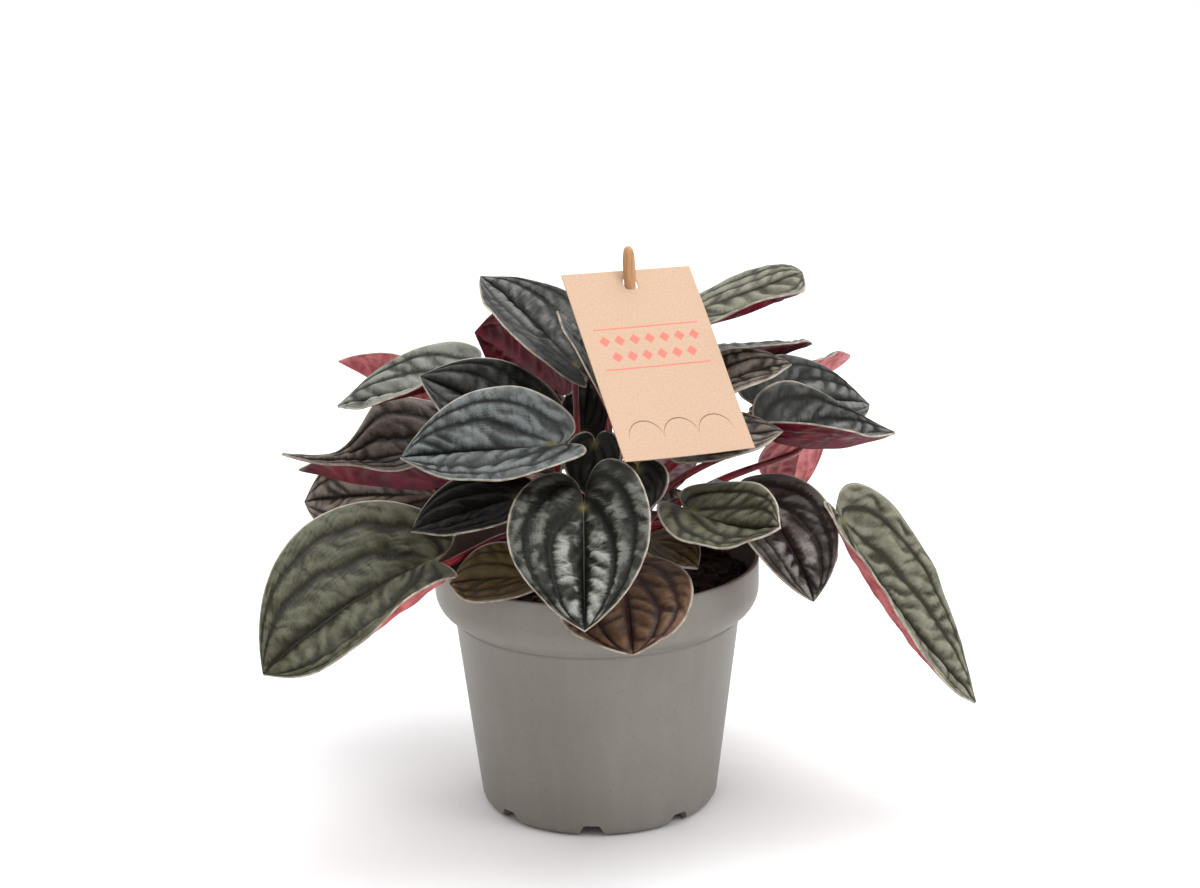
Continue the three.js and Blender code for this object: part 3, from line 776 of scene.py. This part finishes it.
def stalk_tube(index, leaf, place):
    """The stalk, which goes on a little way into the crown."""
    path = stalk_path(leaf, place)
    path = np.vstack([path[0] - unit(path[1] - path[0]) * STALK_DEPTH, path])
    way = np.linspace(0, 1, len(path))
    radii = STALK_RADIUS - STALK_THINNING * smoothstep(way, 0.0, 0.8)
    radii *= 1 + 0.05 * np.sin(way * 23 + index)
    radii[-len(STALK_TIP):] *= STALK_TIP
    return tube(path, radii, STALK_SIDES)


# Kinds of face on a leaf, numbered as its materials are
UPPER, LOWER, RIM, STALK = range(4)


def blade_faces():
    """The faces of any blade, and their kinds.

    The points are an upper and a lower grid, the two ends of the midrib above and below, and a
    rounded rim on each side.
    """
    width = COLUMNS + 1
    count = (ROWS - 1) * width
    last = (ROWS - 2) * width
    faces = []
    kinds = []

    def add(kind, *corners):
        faces.append(corners)
        kinds.append(kind)

    for layer in (UPPER, LOWER):
        shift = layer * count
        end, tip = 2 * count + 2 * layer, 2 * count + 2 * layer + 1
        for j in range(COLUMNS):
            near = (end, shift + j, shift + j + 1)
            far = (shift + last + j, tip, shift + last + j + 1)
            for triple in (near, far):
                add(layer, *(triple if layer == UPPER else triple[::-1]))
            for i in range(ROWS - 2):
                a = shift + i * width + j
                quad = (a, a + width, a + width + 1, a + 1)
                add(layer, *(quad if layer == UPPER else quad[:1] + quad[:0:-1]))
    base = 2 * count + 4
    for side, column in enumerate((0, COLUMNS)):
        rim = [base + side * (ROWS - 1) + i for i in range(ROWS - 1)]
        above = [i * width + column for i in range(ROWS - 1)]
        below = [count + corner for corner in above]
        way = 1 if side == 0 else -1
        for i in range(ROWS - 2):
            add(RIM, *(above[i], rim[i], rim[i + 1], above[i + 1])[::way])
            add(RIM, *(rim[i], below[i], below[i + 1], rim[i + 1])[::way])
        for i, top in ((0, 2 * count), (ROWS - 2, 2 * count + 1)):
            bottom = top + 2
            turn = way if i == 0 else -way
            add(RIM, *(top, rim[i], above[i])[::turn])
            add(RIM, *(top, bottom, below[i], rim[i])[::turn])
    return faces, kinds


def build_leaf(index, leaf, place, materials):
    rng = np.random.default_rng(LEAF_SEED + index)
    name = f"leaf_{index + 1:02d}"
    steps = np.linspace(0, 1, ROWS + 1)[1:-1]
    even = np.linspace(-1, 1, COLUMNS + 1)
    crowded = np.sign(even) * (1 - np.cos(pi * even)) / 2
    sides = EVENNESS * even + (1 - EVENNESS) * crowded
    along, across = np.meshgrid(steps, sides, indexing="ij")
    relief, fields, x, y = blade_relief(leaf, along, across, rng)
    thick = BLADE_THICKNESS * (1 - 0.45 * np.abs(across) ** 6)
    keel = KEEL_DEPTH * np.exp(-((y / KEEL_WIDTH) ** 2)) * smoothstep(1 - along, 0.1, 0.9)
    upper, _, _ = blade_points(leaf, along, across, relief + thick / 2)
    lower, _, _ = blade_points(leaf, along, across, relief - thick / 2 - keel)
    spots = np.array([[0.0, 1.0], [0.0, 1.0]])
    lifts = np.array([[1.0, 1.0], [-1.0, -1.0]]) * BLADE_THICKNESS / 2
    ends, _, _ = blade_points(leaf, spots, np.zeros_like(spots), lifts)
    groups = [group.reshape(-1, 3) for group in (upper, lower, ends)]
    for column, inward in ((0, 1), (COLUMNS, COLUMNS - 1)):
        edge = (upper[:, column] + lower[:, column]) / 2
        outward = edge - (upper[:, inward] + lower[:, inward]) / 2
        outward /= np.linalg.norm(outward, axis=1)[:, None] + 1e-9
        groups.append(edge + RIM_ROUNDING * outward)

    faces, kinds = blade_faces()
    offset = sum(len(group) for group in groups)
    stalk_points, stalk_faces = stalk_tube(index, leaf, place)
    groups.append(stalk_points)
    faces += [tuple(offset + corner for corner in face) for face in stalk_faces]
    kinds += [STALK] * len(stalk_faces)
    made = piece(name + "_blade", np.vstack(groups), faces, materials, kinds)

    spare = sum(len(group) for group in groups) - 2 * along.size
    for field, values in fields.items():
        flat = values.reshape(-1)
        fill = np.full(spare, 1.0 if field == "edge" else 0.0)
        fill[:4] = 0
        write(made, field, np.concatenate([flat, flat, fill]))
    seed = 40.0 * index
    blade = np.stack([x + seed, y, np.full_like(x, seed)], -1).reshape(-1, 3)
    write(made, "blade", np.vstack([blade, blade, np.zeros((spare, 3))]))
    stand_for(made, name)


def crown_height(radius):
    return CROWN_TOP - (CROWN_TOP - CROWN_EDGE) * (radius / CROWN_RADIUS) ** 2


def crown_places():
    """A spiral of places for the stalks, clear of the stick.

    The leaves that lean out furthest choose first.
    """
    share = (STICK_TOP[2] - CROWN_TOP) / (STICK_TOP[2] - STICK_FOOT[2])
    stick = STICK_TOP + (STICK_FOOT - STICK_TOP) * share
    free = []
    for k in range(PLACE_COUNT):
        radius = PLACE_SPACING * sqrt(k + 0.5)
        angle = radians(PLACE_TURN) * k
        place = polar(radius, angle)
        if dist(place, stick[:2]) > STICK_CLEARANCE:
            free.append(place)

    def lean(leaf):
        return hypot(*leaf.end[:2]) / (leaf.end[2] - SOIL_TOP)

    chosen = {}
    for index in sorted(range(len(LEAVES)), key=lambda k: -lean(LEAVES[k])):
        leaf = LEAVES[index]
        pull = min(LEAN_PULL * lean(leaf), FURTHEST_PLACE) / hypot(*leaf.end[:2])
        wish = (leaf.end[0] * pull, leaf.end[1] * pull)
        nearest = min(free, key=lambda place: dist(place, wish))
        free.remove(nearest)
        chosen[index] = nearest
    return chosen


# Pot, soil and crown -------------------

SHOULDER_TOP = POT_HEIGHT - BAND_HEIGHT
NECK = SHOULDER_TOP - SHOULDER_HEIGHT
RIM_OUTER = 0.7
RIM_INNER = 0.6
POT_SEGMENTS = 144
POT_CREASE = 38


def wall_profile(inset):
    """One face of the pot's wall from the foot to the rim, moved inwards by inset."""
    flat = FOOT_RADIUS - FOOT_FILLET
    points = [(flat - 1, inset), (flat, inset)]
    reach = FOOT_FILLET - inset
    for turn in np.radians(np.arange(12, 91, 13)):
        points.append((flat + reach * sin(turn), FOOT_FILLET - reach * cos(turn)))
    for share in np.linspace(0.06, 0.97, 12):
        radius = FOOT_RADIUS + (NECK_RADIUS - FOOT_RADIUS) * share
        points.append((radius - inset, FOOT_FILLET + (NECK - FOOT_FILLET) * share))
    if inset == 0:
        groove = ((0.12, 1.2), (0.3, 0.8), (0.05, 0))
        points += [(NECK_RADIUS - deep, NECK - under) for deep, under in groove]
    else:
        points.append((NECK_RADIUS - inset, NECK))
    for turn in np.radians(np.arange(10, 91, 10)):
        points.append((
            NECK_RADIUS + (RIM_RADIUS - NECK_RADIUS) * sin(turn) - inset,
            SHOULDER_TOP - (SHOULDER_HEIGHT - 1) * cos(turn) + inset * 0.4 * cos(turn),
        ))
    return points


def inside_profile(inset):
    """The stretch of such a face that stands above the pot's floor."""
    foot = CHANNEL_RISE + inset
    above = [point for point in wall_profile(inset) if point[1] > foot + 1]
    return [(FOOT_RADIUS - inset, foot)] + above


def notch_cutter(degrees):
    """The arch of one drain notch as a closed prism, narrower at its top."""
    lean = (NOTCH_WIDTH - NOTCH_TOP) / 2 / (NOTCH_HEIGHT + 1)
    half = NOTCH_TOP / 2
    arch = [(-NOTCH_WIDTH / 2, -1), (NOTCH_WIDTH / 2, -1), (half + lean * 1.2, NOTCH_HEIGHT - 1.2)]
    arch += [(half - 0.05, NOTCH_HEIGHT - 0.35), (half - 0.6, NOTCH_HEIGHT)]
    arch += [(-x, z) for x, z in arch[:1:-1]]
    angle = radians(degrees)
    out = np.array([cos(angle), sin(angle), 0])
    side = np.array([-sin(angle), cos(angle), 0])
    points = []
    for distance in (NOTCH_REACH, FOOT_RADIUS + 4):
        points += [out * distance + side * x + np.array([0, 0, z]) for x, z in arch]
    size = len(arch)
    faces = [tuple(range(size)), tuple(range(2 * size - 1, size - 1, -1))]
    for k in range(size):
        nxt = (k + 1) % size
        faces.append((k, k + size, nxt + size, nxt))
    return points, faces


def cleaned(made):
    """Merges doubled corners and turns all faces outwards."""
    with edited(made) as mesh:
        bmesh.ops.remove_doubles(mesh, verts=mesh.verts, dist=1e-7)
        bmesh.ops.recalc_face_normals(mesh, faces=mesh.faces)
    return made


def quarter(radius, height, size, first):
    """A quarter of a circle round (radius, height), as part of a profile."""
    turns = np.radians(np.arange(first, first + 91, 30))
    return [(radius + size * cos(turn), height + size * sin(turn)) for turn in turns]


def build_pot(material):
    underside = [
        (0, 0), (PAD_RADIUS - 1, 0), (PAD_RADIUS, 0), (PAD_RADIUS + 2, CHANNEL_RISE),
        (CHANNEL_RADIUS, CHANNEL_RISE), (CHANNEL_RADIUS + 2, 0),
    ]
    rim = [(RIM_RADIUS, SHOULDER_TOP + 0.8), (RIM_RADIUS, POT_HEIGHT - 5)]
    rim += quarter(RIM_RADIUS - RIM_OUTER, POT_HEIGHT - RIM_OUTER, RIM_OUTER, 0)
    rim += quarter(RIM_RADIUS - WALL + RIM_INNER, POT_HEIGHT - RIM_INNER, RIM_INNER, 90)
    floor = [(PAD_RADIUS + 1, CHANNEL_RISE + WALL), (PAD_RADIUS - 1, WALL), (0, WALL)]
    profile = underside + wall_profile(0) + rim + inside_profile(WALL)[::-1] + floor
    points, faces = lathe(profile, POT_SEGMENTS)
    pot = cleaned(piece("pot_body", points, faces, [material]))
    for k in range(NOTCH_COUNT):
        corners, sides = notch_cutter(FIRST_NOTCH + 360 * k / NOTCH_COUNT)
        cutter = cleaned(piece("cutter", corners, sides, [material]))
        cut = pot.modifiers.new("cut", "BOOLEAN")
        cut.operation = "DIFFERENCE"
        cut.solver = "EXACT"
        cut.object = cutter
        apply_modifiers(pot)
        bpy.data.objects.remove(cutter)
    pot.data.polygons.foreach_set("use_smooth", np.ones(len(pot.data.polygons), bool))
    sharpen(pot, POT_CREASE)
    stand_for(pot, "pot")


def apply_modifiers(made):
    bpy.context.view_layer.update()
    graph = bpy.context.evaluated_depsgraph_get()
    mesh = bpy.data.meshes.new_from_object(made.evaluated_get(graph))
    made.modifiers.clear()
    made.data = mesh


def sharpen(made, degrees):
    """Marks the edges that are steeper than this as sharp."""
    with edited(made) as mesh:
        for edge in mesh.edges:
            steep = len(edge.link_faces) == 2 and edge.calc_face_angle(0) >= radians(degrees)
            edge.smooth = not steep


def field_noise(rng, x, y, periods):
    total = np.zeros_like(x)
    for period, height in periods:
        total += height * ripple(rng, x, y, period)
    return total


GOLDEN = (1 + sqrt(5)) / 2
CRUMB_CORNERS = [
    corner
    for a in (-1, 1)
    for b in (-GOLDEN, GOLDEN)
    for corner in ((0, a, b), (a, b, 0), (b, 0, a))
]
CRUMB_COUNT = 1500
CRUMB_SPREAD = 57
CRUMB_SIZES = (1.1, 2.6)  # the least, and how much may come on top
SOIL_SEGMENTS = 150


def crumb(rng, centre, size):
    """One crumb of soil: a rough lump of 12 corners."""
    corners = np.array(CRUMB_CORNERS) / 1.9 * rng.uniform(0.75, 1.25, (12, 1))
    corners = corners * np.array([1, rng.uniform(0.45, 1), rng.uniform(0.4, 0.9)])
    angle = rng.uniform(0, 6.3)
    turn = np.array(Matrix.Rotation(angle, 3, Vector(rng.normal(size=3)).normalized()))
    return corners @ turn.T * size / 2 + centre


def crumb_faces():
    """The 20 faces of a crumb's hull."""
    mesh = bmesh.new()
    for corner in CRUMB_CORNERS:
        mesh.verts.new(corner)
    mesh.verts.index_update()
    bmesh.ops.convex_hull(mesh, input=mesh.verts)
    faces = [tuple(v.index for v in face.verts) for face in mesh.faces]
    mesh.free()
    return faces


def heap(away):
    """How the soil rises in the middle and falls towards the pot's wall."""
    return 0.6 * np.cos(away / 60 * pi) - 1.1 * smoothstep(away, 46, 59)


def build_soil(material):
    rng = np.random.default_rng(11)
    bed = [(0, WALL + GAP), (PAD_RADIUS - 1.5, WALL + GAP)]
    bed.append((PAD_RADIUS + 0.5, CHANNEL_RISE + WALL + GAP))
    wall = [point for point in inside_profile(WALL + GAP) if point[1] < SOIL_TOP - 0.5]
    edge = RIM_RADIUS - WALL - 0.1
    surface = [(edge * share, SOIL_TOP) for share in np.linspace(1, 0.02, 60)]
    points, faces = lathe(bed + wall + surface + [(0, SOIL_TOP)], SOIL_SEGMENTS)
    top = points[:, 2] > SOIL_TOP - 0.6
    x, y = points[top, 0], points[top, 1]
    rough = field_noise(rng, x, y, ((30, 1.0), (11, 1.0), (5, 0.9), (2.4, 0.8)))
    points[top, 2] = SOIL_TOP - 0.4 + heap(np.hypot(x, y)) + rough
    groups = [points]
    hull = crumb_faces()
    tints = [np.zeros(len(points))]
    for _ in range(CRUMB_COUNT):
        radius = CRUMB_SPREAD * sqrt(rng.uniform(0.04, 1))
        angle = rng.uniform(0, 2 * pi)
        size = CRUMB_SIZES[0] + CRUMB_SIZES[1] * rng.uniform() ** 2.2
        height = SOIL_TOP - 0.3 + heap(radius) + rng.uniform(-0.5, 0.9)
        offset = sum(len(group) for group in groups)
        groups.append(crumb(rng, np.array([*polar(radius, angle), height]), size))
        tints.append(np.full(12, rng.uniform() ** 4 * 0.8))
        faces += [tuple(offset + corner for corner in face) for face in hull]
    soil = piece("soil_bed", np.vstack(groups), faces, [material])
    write(soil, "tint", np.concatenate(tints))
    stand_for(soil, "soil")


def build_crown(material):
    rng = np.random.default_rng(23)
    radii = np.linspace(1, 0.03, 26) * CROWN_RADIUS
    dome = [(radius, crown_height(radius)) for radius in radii]
    profile = [(0, CROWN_FOOT), (CROWN_RADIUS * 0.9, CROWN_FOOT)] + dome + [(0, CROWN_TOP)]
    points, faces = lathe(profile, 90)
    top = points[:, 2] > CROWN_EDGE - 1
    x, y = points[top, 0], points[top, 1]
    points[top, 2] += field_noise(rng, x, y, ((12, 0.7), (5, 0.8), (2.5, 0.5))) - 0.3
    crown = piece("crown_body", points, faces, [material])
    stand_for(crown, "crown")


# Label and stick -----------------------


def card_frame():
    right = unit(CARD_RIGHT)
    down = unit(CARD_DOWN - right * np.dot(CARD_DOWN, right))
    hole = STICK_TOP + unit(STICK_FOOT - STICK_TOP) * HOLE_FROM_STICK_TOP
    corner = hole - right * CARD_HOLE[0] - down * CARD_HOLE[1]
    return corner, right, down, np.cross(down, right)


# The card's grid, and how it makes room for the hole
CARD_COLUMNS = 52
CARD_ROWS = 75
CARD_SHARE = 0.6
CARD_CREASE = 40
HOLE_RADIUS = 2.25
HOLE_CUT = 1.45
HOLE_REACH = 4.2
CURL = 0.9
WARP = 0.35
PLAIN, PRINTED = range(2)


def build_card(plain, printed):
    """A slightly curled card: a grid with a round hole, two faces and an edge."""
    corner, right, down, out = card_frame()
    hole = np.array(CARD_HOLE)
    grid = np.array([
        (CARD_WIDTH * i / CARD_COLUMNS, CARD_HEIGHT * j / CARD_ROWS)
        for j in range(CARD_ROWS + 1)
        for i in range(CARD_COLUMNS + 1)
    ])
    gap = grid - hole
    distance = np.linalg.norm(gap, axis=1)
    safe = np.maximum(distance, 1e-6)[:, None]
    moved = hole + gap / safe * (HOLE_RADIUS + (distance[:, None] - 1.0) * 0.6)
    keep = distance > HOLE_CUT
    pushed = (distance < HOLE_REACH) & keep
    grid = np.where(pushed[:, None], moved, grid)
    across = grid[:, 0] / CARD_WIDTH
    curl = CURL * ((across - 0.5) * 2) ** 2 * (grid[:, 1] / CARD_HEIGHT) ** 2
    curl += WARP * np.sin(grid[:, 1] / 13) * across
    middle = corner + grid[:, :1] * right + grid[:, 1:] * down + curl[:, None] * out
    half = CARD_THICKNESS / 2 * CARD_SHARE
    count = len(grid)
    faces = []
    kinds = []
    edges = {}
    for j in range(CARD_ROWS):
        for i in range(CARD_COLUMNS):
            a = j * (CARD_COLUMNS + 1) + i
            b = a + CARD_COLUMNS + 1
            quad = (a, b, b + 1, a + 1)
            if not keep[list(quad)].all():
                continue
            faces += [quad, tuple(count + k for k in quad[::-1])]
            kinds += [PRINTED, PLAIN]
            edges.update(dict.fromkeys(zip(quad, quad[1:] + quad[:1])))
    for first, second in edges:
        if (second, first) not in edges:
            faces.append((second, first, count + first, count + second))
            kinds.append(PLAIN)
    layers = np.vstack([middle + out * half, middle - out * half])
    card = piece("label_card_sheet", layers, faces, [plain, printed], kinds)
    sheet = np.hstack([grid, np.zeros((count, 1))])
    write(card, "sheet", np.vstack([sheet, sheet + 100]))
    with edited(card) as mesh:
        loose = [corner for corner in mesh.verts if not corner.link_faces]
        bmesh.ops.delete(mesh, geom=loose, context="VERTS")
    sharpen(card, CARD_CREASE)
    stand_for(card, "label_card")


# The stick's worn top: how far down it, and the share of the full radius
STICK_WEAR = (
    (0, 0.18), (0.25, 0.42), (0.7, 0.62), (1.4, 0.76), (2.4, 0.87), (3.6, 0.94), (5, 0.98),
    (7, 1), (9, 1.01), (11, 1), (12.5, 0.96), (14, 0.92), (15.5, 0.94),
)
STICK_STEPS = 60
STICK_SIDES = 24


def build_stick(material):
    way = unit(STICK_FOOT - STICK_TOP)
    length = np.linalg.norm(STICK_FOOT - STICK_TOP)
    down, share = np.array(STICK_WEAR).T
    down = np.concatenate([down, np.linspace(18, length, STICK_STEPS)])
    radii = np.concatenate([share * STICK_RADIUS, np.full(STICK_STEPS, STICK_RADIUS)])
    points, faces = tube(STICK_TOP + way * down[:, None], radii, STICK_SIDES)
    stick = piece("label_stick_rod", points, faces, [material])
    across = unit(np.cross(way, [0, 1, 0]))
    other = np.cross(way, across)
    local = points - STICK_TOP
    grain = np.stack([local @ across, local @ other, local @ way], -1)
    write(stick, "grain", grain)
    stand_for(stick, "label_stick")


# Stage ---------------------------------

PITCH = radians(15.05)
ROLL = radians(0.8)
DISTANCE = 0.9
LOOK_AT = Vector((0.00185, 0, 0.136))
FOCAL_PIXELS = 2462
IMAGE_WIDTH = 1200
LIGHTS = (("top", (0.2, 0.0, 1.3), 0.9, 9), ("right", (1.2, -0.7, 0.8), 0.7, 6))
LIGHT_AIM = (0, 0, 0.1)
FLOOR_RADII = (0, 500, 1500, 4000)
FLOOR_DROP = 0.0002


def build_camera():
    camera = bpy.data.cameras.new("camera")
    camera.sensor_width = 36
    camera.lens = FOCAL_PIXELS / IMAGE_WIDTH * camera.sensor_width
    camera.clip_start = 0.05
    forward = Vector((0, cos(PITCH), -sin(PITCH)))
    level = Vector((1, 0, 0))
    upright = level.cross(forward)
    right = level * cos(ROLL) - upright * sin(ROLL)
    up = level * sin(ROLL) + upright * cos(ROLL)
    made = added("camera", camera)
    turn = Matrix((right, up, -forward)).transposed().to_4x4()
    made.matrix_world = Matrix.Translation(LOOK_AT - forward * DISTANCE) @ turn
    bpy.context.scene.camera = made


def build_light(name, place, size, power):
    light = bpy.data.lights.new(name, "AREA")
    light.shape = "RECTANGLE"
    light.size = size
    light.size_y = size
    light.energy = power
    made = added(name, light)
    made.location = place
    made.rotation_euler = (Vector(LIGHT_AIM) - Vector(place)).to_track_quat("-Z", "Y").to_euler()


def build_world():
    """Even white light, stronger from above and from behind the plant."""
    world = bpy.data.worlds.new("world")
    world.use_nodes = True
    nodes = Nodes(world.node_tree)
    _, back, high = nodes.split(nodes.place("Generated"))
    behind = nodes.step(back, -0.2, 0.75, 0.4, 1.0)
    above = nodes.step(high, 0.2, 0.95, 0.0, 0.9)
    background = nodes.tree.nodes["Background"]
    nodes.put(nodes.plus(behind, above), background.inputs["Strength"])
    nodes.put((255, 255, 255), background.inputs["Color"])
    bpy.context.scene.world = world


def build_stage():
    build_world()
    bpy.context.scene.view_settings.view_transform = "Standard"
    for light in LIGHTS:
        build_light(*light)
    shade = Shade("floor", gloss=0.1)
    tone = shade.noise(shade.place(), 3, 2)
    paper = shade.mix(tone, (250, 250, 250), (246, 246, 247))
    points, faces = lathe([(radius, 0) for radius in FLOOR_RADII], 64)
    faces = [face[::-1] for face in faces]
    floor = piece("floor", points, faces, [shade.finish(paper, 0.9)])
    floor.location.z = -FLOOR_DROP


# Assembly ------------------------------

build_camera()
build_stage()
build_pot(pot_material())
build_soil(soil_material())
build_crown(crown_material())
uppers = {name: upper_material(name, *look) for name, look in LOOKS.items()}
unders = {name: under_material(name) for name in UNDERS}
margin = margin_material()
stalk = stalk_material()
places = crown_places()
for number, one in enumerate(LEAVES):
    build_leaf(number, one, places[number], [uppers[one.look], unders[one.under], margin, stalk])
build_card(card_material(False), card_material(True))
build_stick(wood_material())
